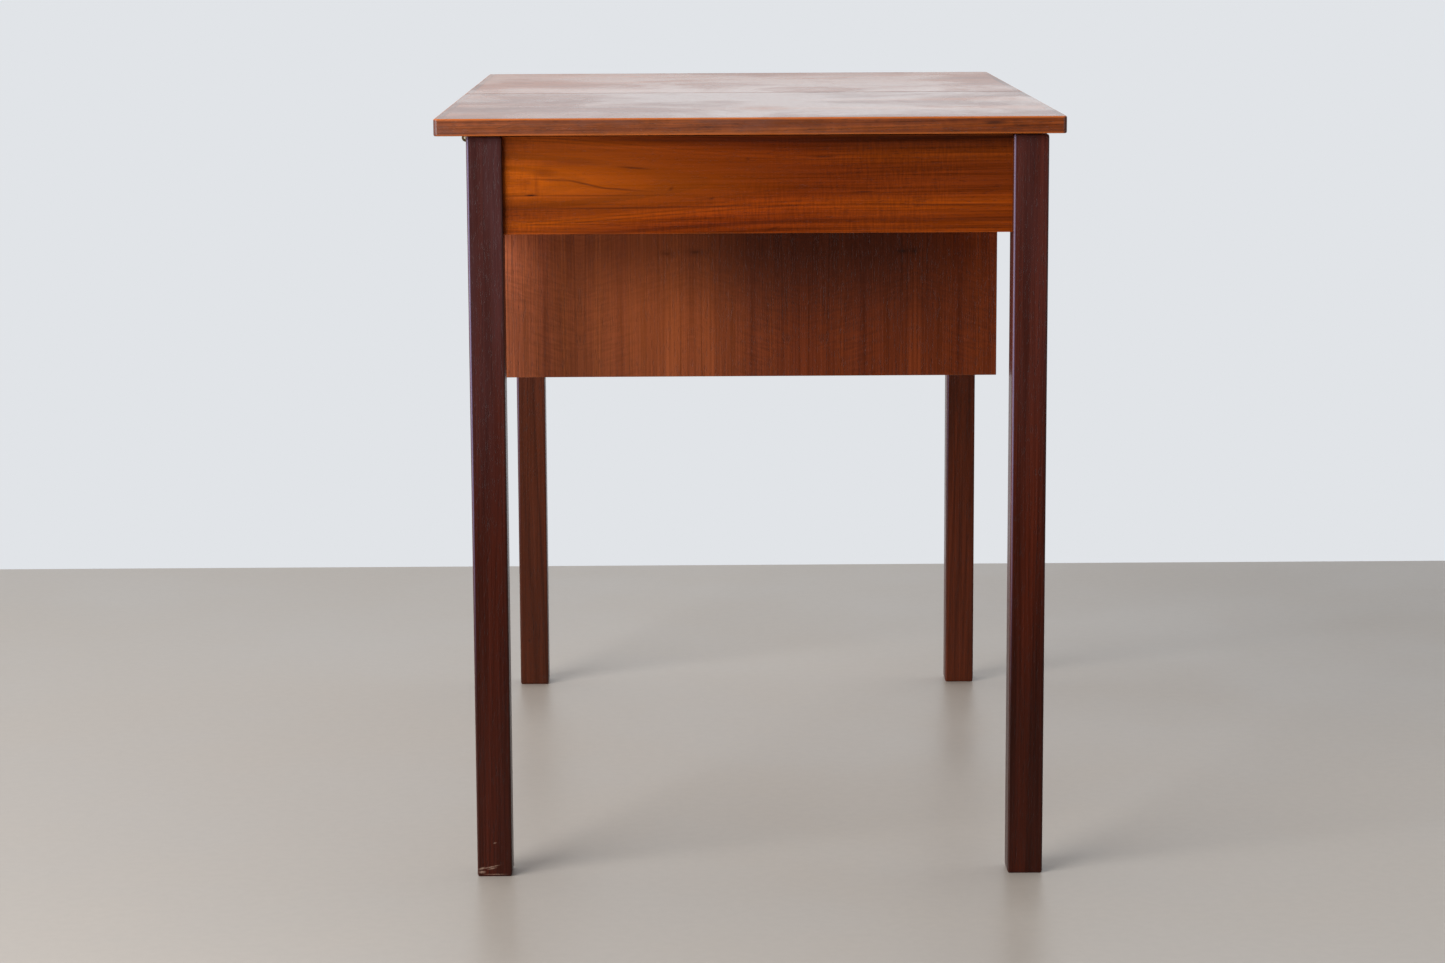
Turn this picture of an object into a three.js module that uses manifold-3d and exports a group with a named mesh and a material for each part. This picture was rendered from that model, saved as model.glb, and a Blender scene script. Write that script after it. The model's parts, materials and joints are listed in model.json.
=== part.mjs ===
// Sewing table with two lift-up lids, a deep storage well and a sliding tray.
//
// Units are millimetres. +Z is up and the feet stand on z = 0. The table top is centred on
// x = 0 and y = 0. "front" is the short end at -Y, over the deep well, and "rear" is the short
// end at +Y. The lids hinge on the left long side (-X) and their free edges lift on the right.
import * as THREE from "three";
import { mergeVertices } from "three/addons/utils/BufferGeometryUtils.js";
import Module from "manifold-3d";

const wasm = await Module();
wasm.setup();

// ---------------------------------------------------------------- driving dimensions
const HEIGHT = 720; // floor to table top
const TOP_WIDTH = 582; // across the short end, along X
const TOP_LENGTH = 900; // along Y
const TOP_THICKNESS = 16;
const TOP_CORNER = 4; // radius of the top's four vertical corners
const TOP_ARRIS = 1.5; // radius of the top's upper and lower edges
const LIPPING = 8; // width of the solid strips round each lid's veneered panel
const SEAM = 1; // gap between the two closed lids
const SEAM_CORNER = 2; // radius of the lids' vertical corners at the seam

const LEG = 33; // side of the square legs
const LEG_ARRIS = 0.5; // radius of a leg's plan corners before the ease is added
const LEG_EASE = 1.5; // how far a leg's ends and long edges are eased
const FOOT_EASE = 2.5; // height of the ease at a leg's ends
const FRAME_WIDTH = 538; // over the outer faces of the legs, along X
const FRAME_LENGTH = 876; // over the outer faces of the legs, along Y
const FRAME_SHIFT = 7; // the leg frame sits this far right of the top's middle

const RAIL_GAP = 1.5; // shadow gap between the frame and the closed lids
const APRON_BOTTOM = 612; // height of the lower edges of aprons and rails
const APRON_THICKNESS = 20;
const APRON_RECESS = 5; // end aprons behind the legs' outer faces
const SIDE_RECESS = 2; // side rails behind the legs' outer faces

const WELL_BOARD = 12; // thickness of the well's four walls
const WELL_SETBACK = 100; // well front behind the front faces of the legs
const WELL_BOTTOM = 466; // height of the well walls' lower edges
const WELL_RIGHT = 237; // x of the well's right outer face
const WELL_FLOOR_RISE = 6; // well floor above the walls' lower edges
const PLY = 6; // thickness of the plywood floors

const LEDGE = 12; // square section of the tray's runners and the floor bearers
const LEDGE_TOP = 640; // height of the tray's runners
const TRAY_WIDTH = 200; // along X, the way it slides
const TRAY_HEIGHT = 50;
const TRAY_WALL = 8;
const TRAY_BOTTOM = 4;
const TRAY_DIVIDER = 5;
const TRAY_PLAY = 1.5; // between the tray and the well's walls
const TRAY_LIFT = 0.3; // running clearance over the runners

const GUSSET = 70; // side of the triangular plates under the corners
const GUSSET_THICKNESS = 12;

const HINGE_LENGTH = 50;
const HINGE_LEAF = 19; // leaf width from the pin's axis
const HINGE_LEAF_THICKNESS = 1.8;
const HINGE_OFFSET = 4.5; // pin's axis to the faces that the leaves lie on
const KNUCKLE_RADIUS = 4;
const KNUCKLE_COUNT = 5;
const KNUCKLE_GAP = 0.3; // end play between neighbouring knuckles
const PIN_RADIUS = 1.8;
const PIN_PLAY = 0.2; // pin to knuckle bore
const PIN_HEAD = 0.6; // pin past the outermost knuckle, each end
const SCREW_RADIUS = 1.7; // hole for the hinge screw's shank
const SCREW_HEAD_RADIUS = 3.2; // countersink at the leaf's face
const SCREW_COUNT = 3; // screws in each leaf
const SCREW_PITCH = 17;
const SCREW_INSET = 7; // screw line from the leaf's free edge
const HINGE_INSET = 67; // hinge's middle from the frame's end or the seam

const BUMPER_RADIUS = 5;
const BUMPER_HEIGHT = 1.4;
const BUMPER_INSET = 70; // bumpers from the ends of each lid
const ROUND = 24; // facets on round parts

// ---------------------------------------------------------------- places worked out from them
const LEG_X = [FRAME_SHIFT - FRAME_WIDTH / 2, FRAME_SHIFT + FRAME_WIDTH / 2]; // outer faces
const LEG_Y = [-FRAME_LENGTH / 2, FRAME_LENGTH / 2];
const LID_BOTTOM = HEIGHT - TOP_THICKNESS;
const RAIL_TOP = LID_BOTTOM - RAIL_GAP;
const RAIL_Z = [APRON_BOTTOM, RAIL_TOP];

const LEFT_RAIL_X = [LEG_X[0] + SIDE_RECESS, LEG_X[0] + SIDE_RECESS + APRON_THICKNESS];
const RIGHT_RAIL_X = [LEG_X[1] - SIDE_RECESS - APRON_THICKNESS, LEG_X[1] - SIDE_RECESS];
const FRONT_APRON_Y = [LEG_Y[0] + APRON_RECESS, LEG_Y[0] + APRON_RECESS + APRON_THICKNESS];
const REAR_APRON_Y = [LEG_Y[1] - APRON_RECESS - APRON_THICKNESS, LEG_Y[1] - APRON_RECESS];
const CENTRE_RAIL_Y = [-APRON_THICKNESS / 2, APRON_THICKNESS / 2];
const BETWEEN_LEGS_X = [LEG_X[0] + LEG, LEG_X[1] - LEG];
const BETWEEN_LEGS_Y = [LEG_Y[0] + LEG, LEG_Y[1] - LEG];
const INSIDE_X = [LEFT_RAIL_X[1], RIGHT_RAIL_X[0]];

const WELL_X = [INSIDE_X[0], WELL_RIGHT];
const WELL_Y = [LEG_Y[0] + WELL_SETBACK, CENTRE_RAIL_Y[0]];
const WELL_Z = [WELL_BOTTOM, RAIL_TOP];
const WELL_IN_X = [WELL_X[0] + WELL_BOARD, WELL_X[1] - WELL_BOARD];
const WELL_IN_Y = [WELL_Y[0] + WELL_BOARD, WELL_Y[1] - WELL_BOARD];

const PLATE_Z = [APRON_BOTTOM, APRON_BOTTOM + GUSSET_THICKNESS];
const FLOOR_Z = [PLATE_Z[1], PLATE_Z[1] + PLY];

const HINGE_X = LEFT_RAIL_X[0] - HINGE_OFFSET;
const HINGE_Z = LID_BOTTOM - HINGE_OFFSET;
const LIDS = [
  {
    name: "front_lid",
    y: [-TOP_LENGTH / 2, -SEAM / 2],
    outer: -1, // the lid's outer end faces -Y
    hinges: [LEG_Y[0] + HINGE_INSET, -HINGE_INSET],
  },
  {
    name: "rear_lid",
    y: [SEAM / 2, TOP_LENGTH / 2],
    outer: 1,
    hinges: [HINGE_INSET, LEG_Y[1] - HINGE_INSET],
  },
];

// ---------------------------------------------------------------- finishes
const FINISHES = {
  topVeneer: { color: 0x9a6650, roughness: 0.42, metalness: 0 },
  lipping: { color: 0x8f4a1e, roughness: 0.4, metalness: 0 },
  apronVeneer: { color: 0x8a4210, roughness: 0.4, metalness: 0 },
  wellVeneer: { color: 0x763a1e, roughness: 0.5, metalness: 0 },
  darkWood: { color: 0x33191a, roughness: 0.38, metalness: 0 },
  innerWood: { color: 0xb98a5c, roughness: 0.6, metalness: 0 },
  plywood: { color: 0xc9a272, roughness: 0.65, metalness: 0 },
  brass: { color: 0x9c8148, roughness: 0.35, metalness: 1 },
  rubber: { color: 0x2a2522, roughness: 0.85, metalness: 0 },
};

function named(name, geometry, finish) {
  const mesh = new THREE.Mesh(geometry, new THREE.MeshStandardMaterial(FINISHES[finish]));
  mesh.name = name;
  return mesh;
}

// ---------------------------------------------------------------- shapes
function box([x0, x1], [y0, y1], [z0, z1]) {
  const geometry = new THREE.BoxGeometry(x1 - x0, y1 - y0, z1 - z0);
  return geometry.translate((x0 + x1) / 2, (y0 + y1) / 2, (z0 + z1) / 2);
}

function board(name, finish, x, y, z) {
  return named(name, box(x, y, z), finish);
}

// A rectangle whose corners have the radii [low x low y, high x low y, high x high y, low x high y].
function roundedRectangle([x0, x1], [y0, y1], radii) {
  const [a, b, c, d] = radii;
  const outline = new THREE.Shape();
  outline.moveTo(x0 + a, y0);
  outline.lineTo(x1 - b, y0);
  if (b) outline.absarc(x1 - b, y0 + b, b, -Math.PI / 2, 0);
  outline.lineTo(x1, y1 - c);
  if (c) outline.absarc(x1 - c, y1 - c, c, 0, Math.PI / 2);
  outline.lineTo(x0 + d, y1);
  if (d) outline.absarc(x0 + d, y1 - d, d, Math.PI / 2, Math.PI);
  outline.lineTo(x0, y0 + a);
  if (a) outline.absarc(x0 + a, y0 + a, a, Math.PI, Math.PI * 1.5);
  return outline;
}

function upright(outline, [z0, z1]) {
  const geometry = new THREE.ExtrudeGeometry(outline, {
    depth: z1 - z0,
    bevelEnabled: false,
    curveSegments: 6,
  });
  return geometry.translate(0, 0, z0);
}

// A lathe turned about Y, from (radius, height) points that start and end on the axis.
function turned(points) {
  return new THREE.LatheGeometry(points.map(([r, h]) => new THREE.Vector2(r, h)), ROUND);
}

function toSolid(geometry) {
  const plain = geometry.clone();
  plain.deleteAttribute("normal");
  plain.deleteAttribute("uv");
  const merged = mergeVertices(plain, 1e-4);
  const mesh = new wasm.Mesh({
    numProp: 3,
    vertProperties: new Float32Array(merged.attributes.position.array),
    triVerts: new Uint32Array(merged.index.array),
  });
  return new wasm.Manifold(mesh);
}

function toGeometry(solid) {
  const mesh = solid.getMesh();
  const geometry = new THREE.BufferGeometry();
  geometry.setAttribute("position", new THREE.BufferAttribute(mesh.vertProperties, 3));
  geometry.setIndex(new THREE.BufferAttribute(mesh.triVerts, 1));
  geometry.computeVertexNormals();
  return geometry;
}

// ---------------------------------------------------------------- the leg frame
function leg(name, x0, y0) {
  const inset = LEG_EASE;
  const radii = [LEG_ARRIS, LEG_ARRIS, LEG_ARRIS, LEG_ARRIS];
  const outline = roundedRectangle(
    [x0 + inset, x0 + LEG - inset],
    [y0 + inset, y0 + LEG - inset],
    radii,
  );
  const geometry = new THREE.ExtrudeGeometry(outline, {
    depth: RAIL_TOP - 2 * FOOT_EASE,
    bevelEnabled: true,
    bevelSize: LEG_EASE,
    bevelThickness: FOOT_EASE,
    bevelSegments: 2,
    curveSegments: 3,
  });
  return named(name, geometry.translate(0, 0, FOOT_EASE), "darkWood");
}

// A triangular plate under a corner, notched round the leg. sx and sy point into the corner.
function gusset(name, sx, sy) {
  const railX = sx < 0 ? INSIDE_X[0] : INSIDE_X[1];
  const railY = sy < 0 ? FRONT_APRON_Y[1] : REAR_APRON_Y[0];
  const legX = sx < 0 ? BETWEEN_LEGS_X[0] : BETWEEN_LEGS_X[1];
  const legY = sy < 0 ? BETWEEN_LEGS_Y[0] : BETWEEN_LEGS_Y[1];
  const corners = [
    [railX, railY - sy * GUSSET],
    [railX, legY],
    [legX, legY],
    [legX, railY],
    [railX - sx * GUSSET, railY],
  ];
  if (sx * sy < 0) corners.reverse();
  const outline = new THREE.Shape(corners.map(([x, y]) => new THREE.Vector2(x, y)));
  return named(name, upright(outline, PLATE_Z), "innerWood");
}

function frame() {
  const group = new THREE.Group();
  const sides = { left: LEG_X[0], right: LEG_X[1] - LEG };
  const ends = { front: LEG_Y[0], rear: LEG_Y[1] - LEG };
  for (const [end, y] of Object.entries(ends))
    for (const [side, x] of Object.entries(sides)) group.add(leg(`${end}_${side}_leg`, x, y));

  group.add(
    board("front_apron", "apronVeneer", BETWEEN_LEGS_X, FRONT_APRON_Y, RAIL_Z),
    board("rear_apron", "apronVeneer", BETWEEN_LEGS_X, REAR_APRON_Y, RAIL_Z),
    board("left_side_rail", "apronVeneer", LEFT_RAIL_X, BETWEEN_LEGS_Y, RAIL_Z),
    board("right_side_rail", "apronVeneer", RIGHT_RAIL_X, BETWEEN_LEGS_Y, RAIL_Z),
    board("centre_rail", "innerWood", INSIDE_X, CENTRE_RAIL_Y, RAIL_Z),
    gusset("front_left_gusset", -1, -1),
    gusset("front_right_gusset", 1, -1),
    gusset("rear_left_gusset", -1, 1),
    gusset("rear_right_gusset", 1, 1),
  );
  return group;
}

// ---------------------------------------------------------------- the deep well
function well() {
  const group = new THREE.Group();
  const floorLow = WELL_BOTTOM + WELL_FLOOR_RISE;
  const ledgeZ = [LEDGE_TOP - LEDGE, LEDGE_TOP];
  group.add(
    board("well_front_panel", "wellVeneer", WELL_X, [WELL_Y[0], WELL_IN_Y[0]], WELL_Z),
    board("well_rear_panel", "wellVeneer", WELL_X, [WELL_IN_Y[1], WELL_Y[1]], WELL_Z),
    board("well_left_side", "wellVeneer", [WELL_X[0], WELL_IN_X[0]], WELL_IN_Y, WELL_Z),
    board("well_right_side", "wellVeneer", [WELL_IN_X[1], WELL_X[1]], WELL_IN_Y, WELL_Z),
    board("well_floor", "plywood", WELL_IN_X, WELL_IN_Y, [floorLow, floorLow + PLY]),
    board("well_packing_strip", "innerWood", [WELL_X[1], INSIDE_X[1]], WELL_Y, RAIL_Z),
    board("front_tray_runner", "innerWood", WELL_IN_X, [WELL_IN_Y[0], WELL_IN_Y[0] + LEDGE], ledgeZ),
    board("rear_tray_runner", "innerWood", WELL_IN_X, [WELL_IN_Y[1] - LEDGE, WELL_IN_Y[1]], ledgeZ),
  );
  return group;
}

// ---------------------------------------------------------------- the sliding tray
function tray() {
  const group = new THREE.Group();
  const x = [WELL_IN_X[0] + TRAY_PLAY, WELL_IN_X[0] + TRAY_PLAY + TRAY_WIDTH];
  const y = [WELL_IN_Y[0] + TRAY_PLAY, WELL_IN_Y[1] - TRAY_PLAY];
  const z = [LEDGE_TOP + TRAY_LIFT, LEDGE_TOP + TRAY_LIFT + TRAY_HEIGHT];
  const inX = [x[0] + TRAY_WALL, x[1] - TRAY_WALL];
  const inY = [y[0] + TRAY_WALL, y[1] - TRAY_WALL];
  const wallZ = [z[0] + TRAY_BOTTOM, z[1]];
  const dividerZ = [wallZ[0], z[1] - TRAY_WALL];
  const dividerY = [(y[0] + y[1] - TRAY_DIVIDER) / 2, (y[0] + y[1] + TRAY_DIVIDER) / 2];
  group.add(
    board("tray_bottom", "plywood", x, y, [z[0], wallZ[0]]),
    board("tray_left_wall", "innerWood", [x[0], inX[0]], y, wallZ),
    board("tray_right_wall", "innerWood", [inX[1], x[1]], y, wallZ),
    board("tray_front_wall", "innerWood", inX, [y[0], inY[0]], wallZ),
    board("tray_rear_wall", "innerWood", inX, [inY[1], y[1]], wallZ),
    board("tray_divider", "innerWood", inX, dividerY, dividerZ),
  );
  return group;
}

// ---------------------------------------------------------------- the shallow compartments
// A plywood floor as wide as the side rails allow, notched round the two legs at its outer edge.
function notchedFloor(name, innerY, outerY, legY) {
  const corners = [
    [INSIDE_X[0], innerY],
    [INSIDE_X[1], innerY],
    [INSIDE_X[1], legY],
    [BETWEEN_LEGS_X[1], legY],
    [BETWEEN_LEGS_X[1], outerY],
    [BETWEEN_LEGS_X[0], outerY],
    [BETWEEN_LEGS_X[0], legY],
    [INSIDE_X[0], legY],
  ];
  if (outerY < innerY) corners.reverse();
  const outline = new THREE.Shape(corners.map(([x, y]) => new THREE.Vector2(x, y)));
  return named(name, upright(outline, FLOOR_Z), "plywood");
}

function compartments() {
  const group = new THREE.Group();
  const rearY = [CENTRE_RAIL_Y[1], REAR_APRON_Y[0]];
  const bearerY = [rearY[0], rearY[1] - GUSSET];
  const frontBearerX = [INSIDE_X[0] + GUSSET, INSIDE_X[1] - GUSSET];
  const frontBearerY = [FRONT_APRON_Y[1], FRONT_APRON_Y[1] + LEDGE];
  const leftBearerX = [INSIDE_X[0], INSIDE_X[0] + LEDGE];
  const rightBearerX = [INSIDE_X[1] - LEDGE, INSIDE_X[1]];
  const middle = (rearY[0] + rearY[1]) / 2;
  const dividerY = [middle - PLY / 2, middle + PLY / 2];
  const dividerZ = [FLOOR_Z[1], RAIL_TOP - PLY];
  group.add(
    notchedFloor("front_shelf_floor", WELL_Y[0], FRONT_APRON_Y[1], BETWEEN_LEGS_Y[0]),
    board("front_shelf_bearer", "innerWood", frontBearerX, frontBearerY, PLATE_Z),
    notchedFloor("rear_compartment_floor", rearY[0], rearY[1], BETWEEN_LEGS_Y[1]),
    board("rear_left_bearer", "innerWood", leftBearerX, bearerY, PLATE_Z),
    board("rear_right_bearer", "innerWood", rightBearerX, bearerY, PLATE_Z),
    board("rear_compartment_divider", "innerWood", INSIDE_X, dividerY, dividerZ),
  );
  return group;
}

// ---------------------------------------------------------------- the lids
// The whole lid with its rounded edges, which the panel and the lippings are sawn from.
function lidBlank([x0, x1], [y0, y1], lowCorner, highCorner) {
  const low = lowCorner - TOP_ARRIS;
  const high = highCorner - TOP_ARRIS;
  const outline = roundedRectangle(
    [x0 + TOP_ARRIS, x1 - TOP_ARRIS],
    [y0 + TOP_ARRIS, y1 - TOP_ARRIS],
    [low, low, high, high],
  );
  const geometry = new THREE.ExtrudeGeometry(outline, {
    depth: TOP_THICKNESS - 2 * TOP_ARRIS,
    bevelEnabled: true,
    bevelSize: TOP_ARRIS,
    bevelThickness: TOP_ARRIS,
    bevelSegments: 4,
    curveSegments: 6,
  });
  return toSolid(geometry.translate(0, 0, LID_BOTTOM + TOP_ARRIS));
}

function lid({ name, y: [y0, y1], outer }) {
  const group = new THREE.Group();
  const [x0, x1] = [-TOP_WIDTH / 2, TOP_WIDTH / 2];
  const [inX0, inX1] = [x0 + LIPPING, x1 - LIPPING];
  const [inY0, inY1] = [y0 + LIPPING, y1 - LIPPING];
  const corners = outer < 0 ? [TOP_CORNER, SEAM_CORNER] : [SEAM_CORNER, TOP_CORNER];
  const blank = lidBlank([x0, x1], [y0, y1], ...corners);
  const [endY, seamY] = outer < 0 ? [[y0, inY0], [inY1, y1]] : [[inY1, y1], [y0, inY0]];
  const sawn = (part, finish, x, y) => {
    const piece = blank.intersect(toSolid(box(x, y, [LID_BOTTOM, HEIGHT])));
    group.add(named(`${name}_${part}`, toGeometry(piece), finish));
  };
  sawn("panel", "topVeneer", [inX0, inX1], [inY0, inY1]);
  sawn("end_lipping", "lipping", [x0, x1], endY);
  sawn("seam_lipping", "lipping", [x0, x1], seamY);
  sawn("left_lipping", "lipping", [x0, inX0], [inY0, inY1]);
  sawn("right_lipping", "lipping", [inX1, x1], [inY0, inY1]);
  return group;
}

function bumpers({ name, y: [y0, y1] }) {
  const group = new THREE.Group();
  const x = (RIGHT_RAIL_X[0] + RIGHT_RAIL_X[1]) / 2;
  [y0 + BUMPER_INSET, y1 - BUMPER_INSET].forEach((y, i) => {
    const geometry = new THREE.CylinderGeometry(BUMPER_RADIUS, BUMPER_RADIUS, BUMPER_HEIGHT, ROUND);
    geometry.rotateX(Math.PI / 2).translate(x, y, RAIL_TOP + BUMPER_HEIGHT / 2);
    group.add(named(`${name}_bumper_${i + 1}`, geometry, "rubber"));
  });
  return group;
}

// ---------------------------------------------------------------- the butt hinges
// A leaf lies below the pin (-Z) on the +X side, with its back at x = HINGE_OFFSET. It carries
// every second knuckle, starting with the knuckle numbered first.
function hingeLeaf(first) {
  const faceX = [HINGE_OFFSET - HINGE_LEAF_THICKNESS, HINGE_OFFSET];
  const clear = HINGE_OFFSET;
  const ends = [-HINGE_LENGTH / 2, HINGE_LENGTH / 2];
  const pitch = HINGE_LENGTH / KNUCKLE_COUNT;
  let solid = toSolid(box(faceX, ends, [-HINGE_LEAF, -clear]));
  for (let i = first; i < KNUCKLE_COUNT; i += 2) {
    const y = [ends[0] + i * pitch, ends[0] + (i + 1) * pitch];
    if (i > 0) y[0] += KNUCKLE_GAP / 2;
    if (i < KNUCKLE_COUNT - 1) y[1] -= KNUCKLE_GAP / 2;
    const tab = toSolid(box(faceX, y, [-clear - 1, 0]));
    const barrel = new THREE.CylinderGeometry(KNUCKLE_RADIUS, KNUCKLE_RADIUS, y[1] - y[0], ROUND);
    solid = solid.add(tab).add(toSolid(barrel.translate(0, (y[0] + y[1]) / 2, 0)));
  }
  const bore = PIN_RADIUS + PIN_PLAY;
  solid = solid.subtract(toSolid(new THREE.CylinderGeometry(bore, bore, HINGE_LENGTH + 2, ROUND)));

  const sink = SCREW_HEAD_RADIUS - SCREW_RADIUS;
  for (let i = 0; i < SCREW_COUNT; i++) {
    const drill = turned([
      [0, -1],
      [SCREW_HEAD_RADIUS, -1],
      [SCREW_HEAD_RADIUS, 0],
      [SCREW_RADIUS, sink],
      [SCREW_RADIUS, HINGE_LEAF_THICKNESS + 1],
      [0, HINGE_LEAF_THICKNESS + 1],
    ]);
    drill.rotateZ(-Math.PI / 2);
    const y = (i - (SCREW_COUNT - 1) / 2) * SCREW_PITCH;
    solid = solid.subtract(toSolid(drill.translate(faceX[0], y, SCREW_INSET - HINGE_LEAF)));
  }
  return toGeometry(solid);
}

function hingePin() {
  const half = HINGE_LENGTH / 2 + PIN_HEAD;
  const ease = PIN_HEAD / 2;
  return turned([
    [0, -half],
    [PIN_RADIUS - ease, -half],
    [PIN_RADIUS, ease - half],
    [PIN_RADIUS, half - ease],
    [PIN_RADIUS - ease, half],
    [0, half],
  ]);
}

// The rail leaf hangs down the rail's outer face. The lid leaf lies out under the overhang: it is
// the same leaf turned half over about Z and a quarter turn about Y.
function hinge(name, y) {
  const group = new THREE.Group();
  group.position.set(HINGE_X, y, HINGE_Z);
  const lidLeaf = hingeLeaf(1).rotateZ(Math.PI).rotateY(Math.PI / 2);
  group.add(
    named(`${name}_rail_leaf`, hingeLeaf(0), "brass"),
    named(`${name}_lid_leaf`, lidLeaf, "brass"),
    named(`${name}_pin`, hingePin(), "brass"),
  );
  return group;
}

// ---------------------------------------------------------------- the whole table
const table = new THREE.Group();
table.add(frame(), well(), tray(), compartments());
for (const each of LIDS) {
  table.add(lid(each), bumpers(each));
  each.hinges.forEach((y, i) => table.add(hinge(`${each.name}_hinge_${i + 1}`, y)));
}

export default table;
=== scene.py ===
"""Looks of the sewing table: procedural wood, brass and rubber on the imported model, with the hinge
screws, a plain pale floor, soft studio light and the camera. Lengths are in metres, in the model's frame."""

import json
import math

import bmesh
import bpy
from mathutils import Euler, Matrix, Vector


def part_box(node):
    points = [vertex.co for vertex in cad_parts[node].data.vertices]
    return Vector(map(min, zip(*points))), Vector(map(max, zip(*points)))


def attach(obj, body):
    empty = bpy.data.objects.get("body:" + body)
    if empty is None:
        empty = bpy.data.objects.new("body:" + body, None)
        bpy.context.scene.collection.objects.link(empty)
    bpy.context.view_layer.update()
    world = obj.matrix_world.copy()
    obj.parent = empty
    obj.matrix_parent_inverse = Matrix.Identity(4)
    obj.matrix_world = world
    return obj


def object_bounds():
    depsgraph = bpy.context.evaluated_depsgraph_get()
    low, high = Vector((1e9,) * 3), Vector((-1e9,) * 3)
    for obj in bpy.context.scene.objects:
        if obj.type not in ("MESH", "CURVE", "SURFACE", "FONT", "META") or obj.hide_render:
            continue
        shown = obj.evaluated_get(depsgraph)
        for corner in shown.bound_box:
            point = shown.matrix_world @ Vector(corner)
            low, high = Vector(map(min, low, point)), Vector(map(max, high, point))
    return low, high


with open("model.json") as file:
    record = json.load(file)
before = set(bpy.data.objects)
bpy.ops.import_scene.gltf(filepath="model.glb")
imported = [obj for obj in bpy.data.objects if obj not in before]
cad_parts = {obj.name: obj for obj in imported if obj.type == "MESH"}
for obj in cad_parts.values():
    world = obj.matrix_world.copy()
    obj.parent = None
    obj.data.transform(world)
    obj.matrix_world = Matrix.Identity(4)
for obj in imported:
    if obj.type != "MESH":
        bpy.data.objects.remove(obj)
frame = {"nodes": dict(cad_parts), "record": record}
CAD_BOX = [list(corner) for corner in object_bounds()]

MM = 0.001
X, Y, Z = range(3)

# ---------------------------------------------------------------- camera and stage
CAMERA_PLACE = (-0.0500, -3.6780, 0.9062)
CAMERA_TURN = (80.776, 0.263, -0.449)  # degrees about X, Y and Z
SENSOR = 36.0
LENS = 87.4

FLOOR_HALF = 1.17  # the floor is a square that ends this far from the table's middle
FLOOR_TONE = (184, 174, 163)
SKY_TONE = (225, 228, 232)
SKY_LIGHT = (0.07, 1.12)  # its strength from the front and from the back
SKY_CHANGE = (-0.35, 0.25)  # the strength changes between the directions with these Y
# Each light: its name, its place, the point that it is aimed at, its width and height, its power and
# its colour.
LIGHTS = (
    ("key", (-3.9, -3.8, 2.7), (0, -0.2, 0.4), (4.0, 2.4), 300, (0.96, 0.98, 1.0)),
    ("low_left", (-2.3, -1.9, 0.5), (0, -0.2, 0.5), (2.4, 0.8), 52, (0.98, 0.98, 1.0)),
    ("low_right", (2.0, -2.6, 0.45), (0, 0, 0.5), (1.4, 0.8), 9, (1.0, 0.93, 0.85)),
)


def tone(red, green, blue):
    """An 8-bit sRGB colour as linear RGBA."""

    def linear(value):
        value /= 255
        return value / 12.92 if value <= 0.04045 else ((value + 0.055) / 1.055) ** 2.4

    return (linear(red), linear(green), linear(blue), 1.0)


def link(obj):
    bpy.context.scene.collection.objects.link(obj)
    return obj


def make_camera():
    data = bpy.data.cameras.new("camera")
    data.sensor_width = SENSOR
    data.lens = LENS
    data.clip_end = 100
    camera = link(bpy.data.objects.new("camera", data))
    camera.location = CAMERA_PLACE
    camera.rotation_euler = Euler([math.radians(angle) for angle in CAMERA_TURN])
    bpy.context.scene.camera = camera


# ---------------------------------------------------------------- node graphs
THROUGH = 1.0  # half size, in metres, of a spot that goes right through a board
SHALLOW = 0.02  # half size, in metres, of a spot that stays close to a face
LINE_STEP = 3.17  # how far apart two seeds are in noise along a line


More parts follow.
